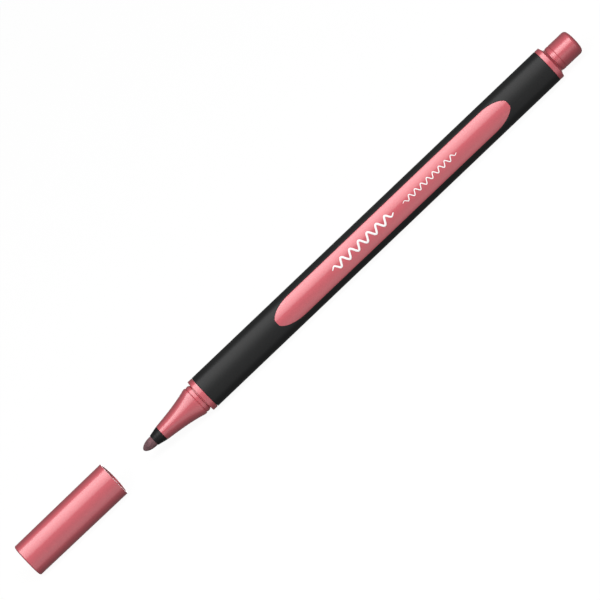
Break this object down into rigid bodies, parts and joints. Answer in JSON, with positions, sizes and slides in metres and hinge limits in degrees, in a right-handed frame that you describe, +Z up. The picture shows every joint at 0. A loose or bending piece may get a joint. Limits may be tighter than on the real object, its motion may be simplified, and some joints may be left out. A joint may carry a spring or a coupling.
{
  "type": "fibre-tip marker pen",
  "caption": "Slim three-sided marker pen: bullet fibre nib, flared cone, rubber-sleeved barrel with an inset window in each face, round end plug and pull-off cap lying in line.",
  "frame": {"origin": "on the surface the pen lies on, under the middle of the whole length with the cap pulled off and lying in line", "axes": "+X along the pen from the nib towards the end plug, +Z up from the surface, +Y across the pen; the pen lies on one of its three faces, and the other two face up at 60 degrees to +Z, one towards +Y and one towards -Y"},
  "size_m": [0.1888, 0.01, 0.0097],
  "materials": {
    "rose_plastic": "moulded plastic in a metallic rose, satin-glossy with a broad soft highlight",
    "sleeve_rubber": "soft-touch black rubber, matt with a faint wide sheen",
    "ferrule_plastic": "moulded black plastic, satin",
    "nib_fibre": "bonded fibre rod ground to a bullet, dull and stained dark mauve with ink",
    "wick_fibre": "bundled polyester fibre soaked with rose ink",
    "wrap_film": "thin translucent film",
    "seal_plastic": "moulded soft plastic in a dark rose, satin",
    "print_ink": "white pad-printed ink with a soft edge, in a plain decorative mark with no lettering"
  },
  "bodies": {
    "pen": {"nib": "nib_fibre", "nib_ferrule": "ferrule_plastic", "front_section": "rose_plastic", "barrel_tube": "rose_plastic", "rubber_sleeve": "sleeve_rubber", "ink_wick": "wick_fibre", "wick_wrap": "wrap_film", "end_plug": "rose_plastic"},
    "cap": {"cap_shell": "rose_plastic", "cap_inner_seal": "seal_plastic"}
  },
  "joints": [
    {"name": "cap_slide", "type": "slide", "parent": "pen", "child": "cap", "axis": [1, 0, 0], "range_m": [0, 0.0297]}
  ]
}
